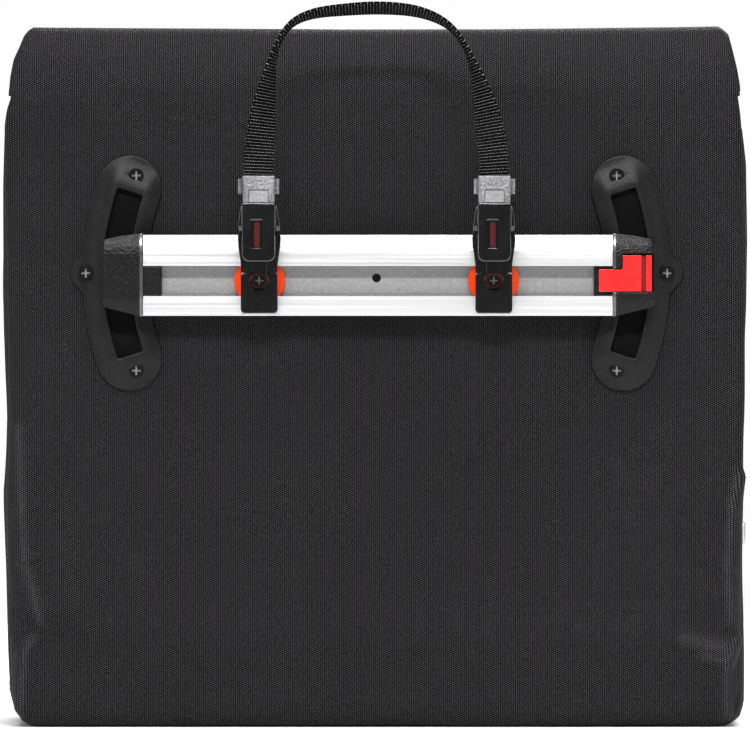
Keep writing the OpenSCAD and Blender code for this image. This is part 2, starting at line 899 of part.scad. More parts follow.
module carry_strap() {
    color([0.05, 0.05, 0.055]) rings(
        [for (i = [0:len(handle_route) - 1], p = strap_ring(i)) p], len(handle_route), 4
    );
}

back_panel();
front_panel();
gusset_left();
gusset_right();
bottom_panel();
back_board();
bottom_board();
loop_patches();
side_tab();
corner_eyelet();
flap();
hook_patches();
plate_left();
plate_right();
plate_screws();
plate_nuts();
pivot_stud();
rail();
cap_left();
cap_right();
shoe_left();
shoe_right();
lock_slider();
lock_spring();
hook_left();
hook_right();
latch_left();
latch_right();
latch_pin_left();
latch_pin_right();
latch_spring_left();
latch_spring_right();
wheel_left();
wheel_right();
wheel_screw_left();
wheel_screw_right();
adjuster_left();
adjuster_right();
pull_bar_left();
pull_bar_right();
strap_clip_left();
strap_clip_right();
carry_strap();
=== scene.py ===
import json
import math

import bmesh
import bpy
import numpy as np
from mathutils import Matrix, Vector, noise

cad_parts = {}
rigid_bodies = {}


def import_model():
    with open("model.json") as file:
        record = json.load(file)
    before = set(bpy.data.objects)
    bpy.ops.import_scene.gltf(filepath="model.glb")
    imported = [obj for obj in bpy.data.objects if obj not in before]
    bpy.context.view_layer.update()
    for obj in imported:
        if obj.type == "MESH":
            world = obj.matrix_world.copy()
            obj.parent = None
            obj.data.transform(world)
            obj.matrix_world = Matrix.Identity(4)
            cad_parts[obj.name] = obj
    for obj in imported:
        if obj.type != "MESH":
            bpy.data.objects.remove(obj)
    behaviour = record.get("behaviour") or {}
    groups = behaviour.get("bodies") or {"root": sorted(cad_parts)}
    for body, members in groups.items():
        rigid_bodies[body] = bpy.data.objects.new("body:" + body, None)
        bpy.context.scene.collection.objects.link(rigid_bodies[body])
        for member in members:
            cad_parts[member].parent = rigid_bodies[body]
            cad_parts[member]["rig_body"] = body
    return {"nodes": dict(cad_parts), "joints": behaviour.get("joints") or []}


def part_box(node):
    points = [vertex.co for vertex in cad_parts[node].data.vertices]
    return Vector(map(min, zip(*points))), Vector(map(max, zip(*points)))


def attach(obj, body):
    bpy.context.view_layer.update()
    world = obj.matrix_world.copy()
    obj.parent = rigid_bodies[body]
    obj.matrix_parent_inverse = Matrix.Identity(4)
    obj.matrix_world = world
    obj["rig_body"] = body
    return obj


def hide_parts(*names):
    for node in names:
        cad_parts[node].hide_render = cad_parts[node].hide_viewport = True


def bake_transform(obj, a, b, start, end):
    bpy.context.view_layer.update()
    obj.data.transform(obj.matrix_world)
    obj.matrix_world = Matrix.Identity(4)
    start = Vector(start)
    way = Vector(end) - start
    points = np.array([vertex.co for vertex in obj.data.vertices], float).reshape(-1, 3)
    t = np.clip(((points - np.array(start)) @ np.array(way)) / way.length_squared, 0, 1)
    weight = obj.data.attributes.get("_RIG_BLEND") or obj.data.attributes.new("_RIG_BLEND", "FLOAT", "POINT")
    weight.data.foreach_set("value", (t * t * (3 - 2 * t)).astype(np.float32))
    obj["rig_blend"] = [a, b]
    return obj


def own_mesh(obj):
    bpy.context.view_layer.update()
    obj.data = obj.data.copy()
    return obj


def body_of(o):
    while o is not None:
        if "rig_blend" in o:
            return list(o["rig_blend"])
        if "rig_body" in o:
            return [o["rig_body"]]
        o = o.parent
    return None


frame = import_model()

NODES = frame["nodes"]
JOINTS = {j["name"]: j for j in frame["joints"]}
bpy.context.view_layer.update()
MM = 0.001

# ---- places that the frame gives ----

BACK_LOW, BACK_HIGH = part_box("back_panel")
FLAP_LOW, FLAP_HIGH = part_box("flap")
FRONT_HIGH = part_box("front_panel")[1]
RAIL_LOW, RAIL_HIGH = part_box("rail")
FOLD_Z = JOINTS["flap_hinge"]["pos_m"][2]
BACK_Y = BACK_LOW.y
FRONT_Y = FRONT_HIGH.y
TOP_Z = FLAP_HIGH.z
RIM_Z = FRONT_HIGH.z
# The hood is the flap's top part. Its sides end at SKIRT_Z, its edges turn with a radius of HOOD_R,
# and at the back the turn starts HOOD_RISE below the top.
SKIRT_Z = FOLD_Z - 2 * MM
HOOD_R = 22 * MM
HOOD_RISE = 40 * MM
SHEET_THICK = 1.6 * MM
BODY_THICK = 1.2 * MM
# A body corner's radius seen from above, the rounding at the foot, and how far the front swells.
BODY_TURN = 12 * MM
BODY_FOOT = 10 * MM
FRONT_SWELL = 6 * MM
SIDES = ("left", "right")

# The bag's outline from the back: height and half width, left and right, in millimetres.
BODY_LEFT = [(0, 173.5), (2, 177.6), (8, 181.2), (17, 183.4), (60, 185), (90, 186.3), (118, 187),
             (140, 186), (155, 185.6), (200, 186.6), (270, 187.2), (300, 186.6), (309, 185.6),
             (312, 184.6), (318, 183.4)]
BODY_RIGHT = [(0, 175), (5, 181.4), (12, 183.4), (50, 183.2), (103, 183.4), (170, 185),
              (243, 186), (282, 185.4), (300, 183.4), (309, 182.9), (318, 181.9)]
HOOD_LEFT = [(312, 184.2), (325, 183.2), (333.5, 181.7), (340, 178.9), (345, 177.2), (347, 176.5),
             (350, 175)]
HOOD_RIGHT = [(312, 182.2), (321, 181.9), (329, 180.6), (338, 178.6), (346, 176.9), (350, 174.2)]
# Where the back's flat part ends at each side: height and distance from the middle.
CREASE_LEFT = [(0, 168), (10, 173.5), (40, 175), (47, 172.6), (55, 170.6), (66, 173.4), (80, 176.6),
               (125, 178.4), (170, 180), (300, 180)]
CREASE_RIGHT = [(0, 170), (20, 174.6), (31, 173), (48, 174.8), (75, 174.8), (112, 176.2), (122, 179.6),
                (170, 179.8), (300, 178)]


def along(table, z):
    """A table's value at height z, both in metres."""
    heights, widths = zip(*table)
    return np.interp(z / MM, heights, widths) * MM


def half_width(z, side):
    """The bag's half width at height z, on the left (-1) or the right (1)."""
    body = along(BODY_LEFT if side < 0 else BODY_RIGHT, z)
    hood = along(HOOD_LEFT if side < 0 else HOOD_RIGHT, z)
    return body if z < SKIRT_Z else hood


# ---- mesh helpers ----

def mesh_object(name, points, faces, uvs=None, smooth=True):
    """A new object; uvs, one pair per point in metres, lay the cloth's weave on it."""
    mesh = bpy.data.meshes.new(name)
    mesh.from_pydata([tuple(p) for p in points], [], faces)
    if uvs is not None:
        layer = mesh.uv_layers.new(name="cloth")
        for loop in mesh.loops:
            layer.data[loop.index].uv = uvs[loop.vertex_index]
    mesh.polygons.foreach_set("use_smooth", [smooth] * len(mesh.polygons))
    mesh.update()
    piece = bpy.data.objects.new(name, mesh)
    bpy.context.scene.collection.objects.link(piece)
    return piece


def grid_faces(rows, columns, closed=False):
    """Quads between the rows of points; closed joins the last column to the first."""
    faces = []
    for i in range(rows - 1):
        for j in range(columns if closed else columns - 1):
            k = (j + 1) % columns
            low, high = i * columns, (i + 1) * columns
            faces.append((low + j, low + k, high + k, high + j))
    return faces


def apply_modifiers(piece):
    """Bakes the modifiers into the mesh."""
    graph = bpy.context.evaluated_depsgraph_get()
    mesh = bpy.data.meshes.new_from_object(piece.evaluated_get(graph))
    piece.modifiers.clear()
    piece.data = mesh


def solidify(piece, thickness):
    """Gives a sheet its thickness, on the inner side of its points."""
    skin = piece.modifiers.new("thickness", "SOLIDIFY")
    skin.thickness = thickness
    skin.offset = -1
    skin.use_even_offset = False


def push(piece, height):
    """Moves each point along its normal by height(point), in metres."""
    mesh = piece.data
    mesh.update()
    normals = [v.normal.copy() for v in mesh.vertices]
    for v, n in zip(mesh.vertices, normals):
        v.co += n * height(v.co)
    mesh.update()


def smooth_line(points, steps):
    """A Catmull-Rom line through points of any dimension."""
    p = np.array(points, float)
    p = np.vstack([2 * p[0] - p[1], p, 2 * p[-1] - p[-2]])
    out = []
    for i in range(1, len(p) - 2):
        for t in np.linspace(0, 1, steps, endpoint=False):
            a, b, c, d = p[i - 1], p[i], p[i + 1], p[i + 2]
            out.append(0.5 * (2 * b + (c - a) * t + (2 * a - 5 * b + 4 * c - d) * t * t
                              + (3 * b - a - 3 * c + d) * t ** 3))
    out.append(p[-2])
    return np.array(out)


def ribbon(name, centres, wides, width, thick):
    """Flat webbing with round edges along centres; wides are the unit directions across it."""
    section = []
    edge = thick / 2
    for side in (1, -1):
        for a in (-90, -45, 0, 45, 90):
            s = math.radians(a)
            section.append((side * (width / 2 - edge + edge * math.cos(s)), side * edge * math.sin(s)))
    centres = np.array(centres, float)
    runs = np.gradient(centres, axis=0)
    runs /= np.linalg.norm(runs, axis=1)[:, None]
    length = np.concatenate([[0], np.cumsum(np.linalg.norm(np.diff(centres, axis=0), axis=1))])
    points, uvs = [], []
    for centre, run, wide, at in zip(centres, runs, np.array(wides, float), length):
        wide = wide - run * wide.dot(run)
        wide /= np.linalg.norm(wide)
        up = np.cross(run, wide)
        for across, rise in section:
            points.append(centre + wide * across + up * rise)
            uvs.append((across, at))
    n = len(section)
    last = (len(centres) - 1) * n
    faces = grid_faces(len(centres), n, closed=True)
    faces += [tuple(range(n - 1, -1, -1)), tuple(last + j for j in range(n))]
    return mesh_object(name, points, faces, uvs)


STITCH_PITCH = 3.2 * MM
STITCH_LENGTH = 2.3 * MM
THREAD_R = 0.28 * MM
THREAD_SIDES = 6


def stitches(name, line, normals):
    """A row of short thread stitches along a line of points, lying on the cloth."""
    n, r = THREAD_SIDES, THREAD_R
    line = np.array(line, float)
    normals = np.array(normals, float)
    steps = np.concatenate([[0], np.cumsum(np.linalg.norm(np.diff(line, axis=0), axis=1))])
    points, faces = [], []
    for at in np.arange(STITCH_PITCH / 2, steps[-1] - STITCH_PITCH / 2, STITCH_PITCH):
        ends = [np.array([np.interp(at + d, steps, line[:, k]) for k in range(3)])
                for d in (-STITCH_LENGTH / 2, 0, STITCH_LENGTH / 2)]
        up = np.array([np.interp(at, steps, normals[:, k]) for k in range(3)])
        up /= np.linalg.norm(up)
        run = ends[2] - ends[0]
        run /= np.linalg.norm(run)
        side = np.cross(run, up)
        base = len(points)
        # Each stitch dips into the cloth at both ends: a place, its height and its share of the thread.
        rings = ((ends[0], -r, 0.5), (ends[0] + run * r, r * 0.4, 1), (ends[1], r, 1.1),
                 (ends[2] - run * r, r * 0.4, 1), (ends[2], -r, 0.5))
        for spot, lift, size in rings:
            for a in range(n):
                s = math.radians(360 * a / n)
                rise = lift + r * size * math.sin(s)
                points.append(spot + up * rise + side * r * size * math.cos(s))
        faces += [tuple(base + k for k in face) for face in grid_faces(len(rings), n, closed=True)]
    return mesh_object(name, points, faces)


# ---- materials ----

def new_material(name, color, roughness, **sockets):
    """A Principled material; sockets are its other values, with _ for a space in their names."""
    material = bpy.data.materials.new(name)
    material.use_nodes = True
    shader = material.node_tree.nodes["Principled BSDF"]
    shader.inputs["Base Color"].default_value = (*color, 1)
    shader.inputs["Roughness"].default_value = roughness
    for socket, value in sockets.items():
        shader.inputs[socket.replace("_", " ")].default_value = value
    return material


def add(material, kind, **values):
    """Adds a shader node; values are its properties, or the defaults of its numbered inputs."""
    node = material.node_tree.nodes.new(kind)
    for key, value in values.items():
        if key.startswith("in"):
            node.inputs[int(key[2:])].default_value = value
        else:
            setattr(node, key, value)
    return node


def join(material, source, output, target, socket):
    material.node_tree.links.new(source.outputs[output], target.inputs[socket])


def shader_of(material):
    return material.node_tree.nodes["Principled BSDF"]


def math_node(material, operation, first, second=None):
    """A Math node whose inputs are numbers or (node, output) pairs."""
    node = add(material, "ShaderNodeMath", operation=operation)
    for index, value in enumerate((first, second)):
        if value is None:
            continue
        if isinstance(value, tuple):
            join(material, value[0], value[1], node, index)
        else:
            node.inputs[index].default_value = value
    return node, 0


def weighted(material, *terms):
    """The sum of (node, output) pairs, each times its weight."""
    total = None
    for source, weight in terms:
        term = math_node(material, "MULTIPLY", source, weight)
        total = math_node(material, "ADD", total, term) if total else term
    return total


def bump(material, height, strength, distance, below=None):
    """A normal bent by a height, on top of another bump where below is given."""
    node = add(material, "ShaderNodeBump")
    node.inputs["Strength"].default_value = strength
    node.inputs["Distance"].default_value = distance
    join(material, height[0], height[1], node, "Height")
    if below is not None:
        join(material, below[0], below[1], node, "Normal")
    return node, 0


def colour_from(material, height, low, high, start=0.0, end=1.0):
    """Base colour that runs from low to high as height goes from start to end."""
    ramp = add(material, "ShaderNodeValToRGB")
    ramp.color_ramp.elements[0].position = start
    ramp.color_ramp.elements[0].color = (*low, 1)
    ramp.color_ramp.elements[1].position = end
    ramp.color_ramp.elements[1].color = (*high, 1)
    join(material, height[0], height[1], ramp, 0)
    join(material, ramp, 0, shader_of(material), "Base Color")


def noise_of(material, scale, detail=3.0, stretch=(1, 1, 1), rough=0.5):
    """Noise over the object's own coordinates, scale in features per metre."""
    place = add(material, "ShaderNodeTexCoord")
    mapping = add(material, "ShaderNodeMapping")
    mapping.inputs["Scale"].default_value = stretch
    join(material, place, "Object", mapping, "Vector")
    texture = add(material, "ShaderNodeTexNoise")
    texture.inputs["Scale"].default_value = scale
    texture.inputs["Detail"].default_value = detail
    texture.inputs["Roughness"].default_value = rough
    join(material, mapping, 0, texture, "Vector")
    return texture, 0


# The canvas's weave repeats every WEAVE_PITCH. The webbing's ribs stand RIB_PITCH apart and its
# floats FLOAT_PITCH, slanted by one float every FLOAT_RUN of its length.
WEAVE_PITCH = 1.06 * MM
RIB_PITCH = 1.55 * MM
FLOAT_PITCH = 0.85 * MM
FLOAT_RUN = 3.1 * MM


def cloth_split(material):
    """The cloth's own run as a node whose outputs are across (0) and along (1), in metres."""
    uv = add(material, "ShaderNodeUVMap", uv_map="cloth")
    split = add(material, "ShaderNodeSeparateXYZ")
    join(material, uv, 0, split, 0)
    return split


def canvas_material(name, low, high):
    """Coated canvas: a fine staggered weave whose light peaks and specks are painted highlights, with ridges
    painted lighter, partly for wear and partly as a painted highlight.
    """
    material = new_material(name, high, 0.6, Specular_IOR_Level=0.08, Sheen_Weight=0.015,
                            Sheen_Roughness=0.4)
    split = cloth_split(material)
    u = math_node(material, "MULTIPLY", (split, 0), math.pi / WEAVE_PITCH)
    v = math_node(material, "MULTIPLY", (split, 1), 2 * math.pi / WEAVE_PITCH)
    warp = math_node(material, "COSINE", math_node(material, "MULTIPLY", u, 2.0))
    cross = math_node(material, "MULTIPLY", math_node(material, "COSINE", u),
                      math_node(material, "COSINE", v))
    weave = weighted(material, (warp, 0.3), (cross, 0.7))
    speck_glints = noise_of(material, 1900, 1.0)
    broad = noise_of(material, 14, 4.0)
    worn = add(material, "ShaderNodeAttribute", attribute_name="ridge_wear_and_sheen")
    ridge_mark_output = 2
    mixed = weighted(material, (weave, 0.6), (speck_glints, 0.9), (broad, 0.1), ((worn, ridge_mark_output), 0.4))
    # The light peaks of the weave and the specks are painted highlights; the ridge marks are partly wear,
    # partly a painted highlight.
    colour_from(material, mixed, low, high, 0.57, 1.14)
    first = bump(material, weave, 0.8, 0.25 * MM)
    second = bump(material, speck_glints, 0.6, 0.2 * MM, first)
    third = bump(material, noise_of(material, 60, 3.0), 0.25, 0.5 * MM, second)
    join(material, third[0], 0, shader_of(material), "Normal")
    return material


def webbing_material():
    """Black webbing: cross ribs of short floats of yarn, whose bright tops are painted highlights."""
    material = new_material("webbing_weave", (0.012, 0.012, 0.013), 0.45, Specular_IOR_Level=0.05)
    split = cloth_split(material)
    rows = math_node(material, "COSINE",
                     math_node(material, "MULTIPLY", (split, 1), 2 * math.pi / RIB_PITCH))
    slant = weighted(material, ((split, 0), 2 * math.pi / FLOAT_PITCH),
                     ((split, 1), 2 * math.pi / FLOAT_RUN))
    floats = math_node(material, "COSINE", slant)
    fibre = noise_of(material, 1500, 2.0)
    height = weighted(material, (rows, 0.6), (floats, 0.3), (fibre, 0.4))
    # The floats' tops are painted bright: painted highlights on black yarn.
    colour_from(material, height, (0.0004, 0.0004, 0.0005), (0.3, 0.296, 0.3), 0.94, 1.14)
    top = bump(material, height, 0.9, 0.35 * MM)
    join(material, top[0], 0, shader_of(material), "Normal")
    return material


def moulded_material(name, low, high, roughness, grain, depth, specular=0.3):
    """Moulded plastic: a fine grain and slight wear in its colour."""
    material = new_material(name, high, roughness, Specular_IOR_Level=specular)
    fine = noise_of(material, grain, 2.0)
    broad = noise_of(material, 60, 4.0)
    mixed = weighted(material, (fine, 0.6), (broad, 0.4))
    colour_from(material, mixed, low, high, 0.38, 0.64)
    top = bump(material, fine, 0.7, depth)
    join(material, top[0], 0, shader_of(material), "Normal")
    return material


def rail_material():
    """Satin anodised aluminium, drawn along its length."""
    material = new_material("anodised_rail", (0.84, 0.84, 0.85), 0.34, Metallic=0.75)
    drawn = noise_of(material, 1, 3.0, stretch=(6, 1600, 1600))
    colour_from(material, drawn, (0.7, 0.7, 0.708), (0.75, 0.75, 0.758), 0.3, 0.7)
    rough = add(material, "ShaderNodeMapRange", in1=0.3, in2=0.7, in3=0.28, in4=0.42)
    join(material, drawn[0], 0, rough, 0)
    join(material, rough, 0, shader_of(material), "Roughness")
    top = bump(material, drawn, 0.12, 0.03 * MM)
    join(material, top[0], 0, shader_of(material), "Normal")
    return material


def steel_material(name, colour, roughness, metallic):
    """Plain metal, or a smooth hard finish where metallic is low, with a fine unevenness."""
    material = new_material(name, colour, roughness, Metallic=metallic)
    fine = noise_of(material, 500, 3.0)
    top = bump(material, fine, 0.2, 0.05 * MM)
    low = tuple(c * 0.8 for c in colour)
    colour_from(material, fine, low, colour, 0.3, 0.7)
    join(material, top[0], 0, shader_of(material), "Normal")
    return material


def tape_material(name, low, high, scale):
    """Hook-and-loop tape: a dense fuzz of tiny hooks."""
    material = new_material(name, high, 0.9, Sheen_Weight=0.2)
    fuzz = noise_of(material, scale, 4.0, rough=0.8)
    colour_from(material, fuzz, low, high, 0.35, 0.7)
    top = bump(material, fuzz, 1.0, 0.5 * MM)
    join(material, top[0], 0, shader_of(material), "Normal")
    return material


CANVAS = canvas_material("canvas_weave", (0.001, 0.0009, 0.0011), (0.058, 0.0548, 0.0589))
WEBBING = webbing_material()
# Each moulded finish: its darkest and its lightest colour, roughness, grain (features per metre), the
# grain's depth, and its specular level where it isn't the usual one.
GRAINED = moulded_material("grained_black", (0.0003, 0.0003, 0.0004), (0.005, 0.005, 0.006),
                           0.36, 760, 0.5 * MM, 0.2)
MATT = moulded_material("matt_black", (0.001, 0.001, 0.0012), (0.006, 0.006, 0.007),
                        0.44, 900, 0.2 * MM, 0.2)
GLOSSY = moulded_material("smooth_black", (0.001, 0.001, 0.0012), (0.005, 0.005, 0.006),
                          0.19, 500, 0.05 * MM, 0.45)
for socket_name, value in (("Coat Weight", 0.6), ("Coat Roughness", 0.08)):
    shader_of(GLOSSY).inputs[socket_name].default_value = value
# A lighter, glossier strip beside the rail: a painted highlight along each cap's collar.
COLLAR_HIGHLIGHT = moulded_material("polished_collar", (0.03, 0.03, 0.032), (0.06, 0.06, 0.064),
                          0.22, 500, 0.03 * MM, 0.9)
# Grey for the black strap clips: a painted reflection of light.
CLIP_REFLECTION_GREY = moulded_material("clip_painted_reflection", (0.05, 0.05, 0.053), (0.19, 0.19, 0.196),
                         0.34, 900, 0.35 * MM, 0.7)
# Light grey for each pull bar's tab: a painted highlight.
TAB_HIGHLIGHT_GREY = moulded_material("tab_painted_highlight", (0.16, 0.16, 0.165), (0.26, 0.26, 0.266),
                               0.36, 700, 0.1 * MM, 0.7)
# The rail's metal, painted darker: painted shade inside its groove.
GROOVE_SHADE = steel_material("groove_metal", (0.37, 0.37, 0.375), 0.4, 0.75)
DEEP_RED = moulded_material("shaded_red", (0.16, 0.002, 0.002), (0.22, 0.004, 0.004),
                            0.4, 400, 0.04 * MM)
# The red inserts' red, painted darker: painted shade, as they sit deep in the hooks.
SHADED_INSERT_RED = moulded_material("recessed_red", (0.1, 0.006, 0.006), (0.16, 0.01, 0.01),
                           0.4, 400, 0.04 * MM)
# Near black and matte for the insides of slots: painted shade.
SLOT_SHADE = moulded_material("deep_black", (0.001, 0.001, 0.001), (0.002, 0.002, 0.002),
                        0.8, 300, 0.05 * MM, 0.1)
BOARD = moulded_material("board_grey", (0.03, 0.03, 0.032), (0.05, 0.05, 0.053), 0.6, 700, 0.2 * MM)
RED = moulded_material("red_insert", (0.78, 0.012, 0.012), (0.86, 0.026, 0.024),
                       0.22, 400, 0.04 * MM, 0.5)
# The pull bars' red, painted darker: painted shade where they show through the hooks' slots.
SHADED_BAR_RED = moulded_material("dark_red_bar", (0.05, 0.002, 0.002), (0.08, 0.004, 0.004),
                            0.35, 400, 0.04 * MM)
ORANGE = moulded_material("orange_wheel", (0.72, 0.04, 0.002), (0.82, 0.055, 0.004),
                          0.38, 600, 0.05 * MM, 0.15)
RAIL = rail_material()
STEEL = steel_material("bright_steel", (0.55, 0.55, 0.57), 0.35, 1.0)
SCREW = steel_material("black_screw", (0.035, 0.035, 0.036), 0.2, 0.9)
# Light grey for the screws' recesses: a painted glint.
GLINT = steel_material("worn_recess", (0.3, 0.3, 0.3), 0.3, 0.3)
LOOPS = tape_material("loop_tape", (0.01, 0.01, 0.01), (0.03, 0.03, 0.03), 700)
HOOKS = tape_material("hook_tape", (0.006, 0.006, 0.006), (0.02, 0.02, 0.02), 1200)
THREAD = steel_material("black_thread", (0.03, 0.03, 0.031), 0.6, 0.0)
REFLECTOR = steel_material("reflective_tape", (0.6, 0.61, 0.62), 0.3, 0.3)


# ---- the cloth's creases ----

# Creases near the lower corners and the sides: x, z at each end, width and height, in millimetres.
CREASES = [
    (-179, 150, -177.3, 108, 3.4, 1.6), (-177.3, 108, -175.8, 83, 3.4, 2.6),
    (-175.8, 83, -168.3, 53, 3.4, 3.2), (-170.3, 51, -172.5, 47, 4, -3.6),
    (-171.8, 45, -176.3, 36, 3.2, 2.8), (-176.3, 36, -178, 10, 3.2, 2.2),
    (-158, 100, -156, 62, 11, 2.0), (-156, 62, -142, 50, 11, 2.0), (-142, 50, -60, 46, 11, 2.2),
    (-60, 46, 150, 45, 11, 2.0), (-164, 54, -150, 64, 7, 1.2), (-172, 30, -150, 14, 8, 1.2),
    (180.8, 125, 176.8, 108, 3.4, 2.8), (176.8, 108, 175.3, 78, 3.4, 2.6),
    (175.3, 78, 177.3, 53, 3.4, 2.2), (179.3, 43, 174.3, 31, 3.2, 3.0),
    (174.3, 31, 175.3, 6, 3.2, 2.4), (163, 35.5, 174.3, 32.5, 3, 1.8), (154, 44, 175.8, 39, 5, 1.5),
    (172, 66, 150, 56, 7, 1.2), (170, 22, 150, 10, 8, 1.2), (-181, 300, -172, 250, 10, 1.0),
    (178, 300, 168, 246, 10, 1.0), (-60, 12, 70, 9, 7, 0.8),
]

# The narrow raised creases, whose tops are painted lighter: partly wear, partly a painted highlight.
RIDGE_WIDTH = 6
RIDGES = [line for line in CREASES if line[4] < RIDGE_WIDTH and line[5] > 0]


def crease(x, z, line):
    """The height of one crease at a point of the back or the front."""
    x0, z0, x1, z1, width, height = (value * MM for value in line)
    dx, dz = x1 - x0, z1 - z0
    t = ((x - x0) * dx + (z - z0) * dz) / (dx * dx + dz * dz)
    t = min(max(t, 0), 1)
    away = math.hypot(x - x0 - t * dx, z - z0 - t * dz)
    return height * math.exp(-(away / width) ** 2)


def cloth_height(p):
    """How far the cloth stands off its plain shape: broad sags, creases and small dents."""
    broad = noise.noise(Vector((p.x * 9, p.y * 9 + 4.1, p.z * 9))) * 1.5 * MM
    small = noise.noise(Vector((p.x * 34 + 2.7, p.y * 34, p.z * 34))) * 0.35 * MM
    folds = sum(crease(p.x, p.z, line) for line in CREASES)
    if p.z < FOLD_Z:
        return broad + small + folds * 0.8
    return (broad + small) * 0.35


def settle(piece):
    """Rests the cloth on the floor, lifts the top's ends a little and marks the ridge tops that are painted
    lighter, partly for wear and partly as a painted highlight.
    """
    ridge_wear_and_sheen = piece.data.attributes.new("ridge_wear_and_sheen", "FLOAT", "POINT")
    lift_from, lift_over, lift_reach = 325 * MM, 22 * MM, 180 * MM
    floor_gap, ridge_marks_below, face_depth = 0.05 * MM, 160 * MM, 12 * MM
    for i, v in enumerate(piece.data.vertices):
        rise = (1.6 if v.co.x > 0 else 0.8) * MM * (v.co.x / lift_reach) ** 2
        v.co.z += rise * min(max((v.co.z - lift_from) / lift_over, 0), 1)
        v.co.z = max(v.co.z, floor_gap)
        # Ridge tops near the faces are marked to be painted lighter: partly wear, partly a painted
        # highlight.
        if v.co.z < ridge_marks_below and abs(v.co.y) > FRONT_Y - face_depth:
            ridge = max(crease(v.co.x, v.co.z, line) / (line[5] * MM) for line in RIDGES)
            ridge_wear_and_sheen.data[i].value = 0.6 * ridge ** 2


# ---- back cloth and flap: one sheet over the top ----

# Steps across the sheet: at each side's bend and in its flat middle. Then rows along it: round the
# foot, up the back, round each of the hood's edges, over the top and down the front.
SIDE_STEPS = 12
MAIN_STEPS = 170
FOOT_ROWS, BACK_ROWS, EDGE_ROWS, TOP_ROWS, FRONT_ROWS = 6, 165, 22, 30, 38
SHEET_FOOT = 8 * MM
FLAP_CORNER = 14 * MM


def sheet_path():
    """The sheet's run from the base, up the back, over the top and down the front: y, z pairs."""
    foot = SHEET_FOOT
    path = [(BACK_Y + foot * (1 - math.sin(a)), foot * (1 - math.cos(a)) + 0.4 * MM)
            for a in np.linspace(0, math.pi / 2, FOOT_ROWS, endpoint=False)]
    path += [(BACK_Y, z) for z in np.linspace(foot, TOP_Z - HOOD_RISE, BACK_ROWS, endpoint=False)]
    front_y = FLAP_HIGH.y
    # The hood's rear edge, then its front edge: the turn's centre, its first angle and its rise.
    edges = ((BACK_Y + HOOD_R, math.pi, HOOD_RISE), (front_y - HOOD_R, math.pi / 2, HOOD_R))
    for cy, start, rise in edges:
        path += [(cy + HOOD_R * math.cos(a), TOP_Z - rise + rise * math.sin(a))
                 for a in np.linspace(start, start - math.pi / 2, EDGE_ROWS, endpoint=False)]
        if start == math.pi:
            path += [(y, TOP_Z)
                     for y in np.linspace(BACK_Y + HOOD_R, front_y - HOOD_R, TOP_ROWS, endpoint=False)]
    path += [(front_y, z) for z in np.linspace(TOP_Z - HOOD_R, FLAP_LOW.z, FRONT_ROWS)]
    return path


def sheet_row(y, z, kind, cheek_y):
    """One row of the sheet, from its left edge to its right edge.

    Its ends bend inwards: on the back and the front with a small turn, on the hood down to the skirt,
    where cheek_y is the depth at which they end.
    """
    row = []
    for side in (-1, 1):
        reach = half_width(z, side) - (1.2 * MM if kind == "back" else 0)
        if kind == "back":
            inner = min(along(CREASE_LEFT if side < 0 else CREASE_RIGHT, z), reach - 3.5 * MM)
            turn = max(6 * MM, (reach - inner) * 1.1)
        elif kind == "hood":
            inner = reach - 2.5 * MM
        else:
            low = max(0, (FLAP_LOW.z + FLAP_CORNER - z) / FLAP_CORNER)
            cut_off = FLAP_CORNER * (1 - math.sqrt(max(0, 1 - low * low)))
            reach = half_width(SKIRT_Z, side) - 1.5 * MM - cut_off
            inner = reach - 3 * MM
            turn = 1.5 * MM
        bend = []
        for t in np.linspace(0, 1, SIDE_STEPS + 1)[1:]:
            if kind == "hood":
                # It is fully out after 0.16 of the way down, and at the cheek's depth after 0.45.
                down = z - (z - SKIRT_Z) * t ** 1.2
                part = math.sin(min(t / 0.16, 1) * math.pi / 2)
                out = inner + (half_width(max(down, SKIRT_Z), side) - inner) * part
                back = y + (cheek_y - y) * (1 - math.cos(min(t / 0.45, 1) * math.pi / 2))
                bend.append((side * out, back, down))
            else:
                a = t * math.pi / 2
                sign = 1 if kind == "back" else -1
                bend.append((side * (inner + (reach - inner) * math.sin(a)),
                             y + sign * turn * (1 - math.cos(a)), z))
        if side < 0:
            row += bend[::-1]
            left = -inner
        else:
            row += [(x, y, z) for x in np.linspace(left, inner, MAIN_STEPS + 1)]
            row += bend
    return row


def cheek_depth(y, z):
    """How far back the ends of a hood row reach: they fan out from the hood's corners."""
    high = (z - SKIRT_Z) / (TOP_Z - SKIRT_Z)
    inset = (5 + 17 * high ** 1.5) * MM
    if y < BACK_Y + HOOD_R:
        return BACK_Y + inset
    if y > FLAP_HIGH.y - HOOD_R:
        return FLAP_HIGH.y - inset
    return y


def make_sheet():
    """The cloth of the back and the flap, with its weave laid along its run."""
    path = sheet_path()
    points, uvs = [], []
    run = 0
    for i, (y, z) in enumerate(path):
        if i:
            run += math.dist(path[i], path[i - 1])
        kind = "hood" if z >= SKIRT_Z else "back" if y < 0 else "front"
        row = sheet_row(y, z, kind, cheek_depth(y, z) if kind == "hood" else y)
        points += row
        for x, _, end_z in row:
            drop = max(0, z - end_z) if kind == "hood" else 0
            uvs.append((math.copysign(abs(x) + drop, x), run))
    columns = MAIN_STEPS + 1 + 2 * SIDE_STEPS
    piece = mesh_object("back_and_flap_cloth", points, grid_faces(len(path), columns), uvs)
    push(piece, cloth_height)
    solidify(piece, SHEET_THICK)
    apply_modifiers(piece)
    settle(piece)
    piece.data.materials.append(CANVAS)
    return piece


sheet_piece = make_sheet()
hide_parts("back_panel", "flap")
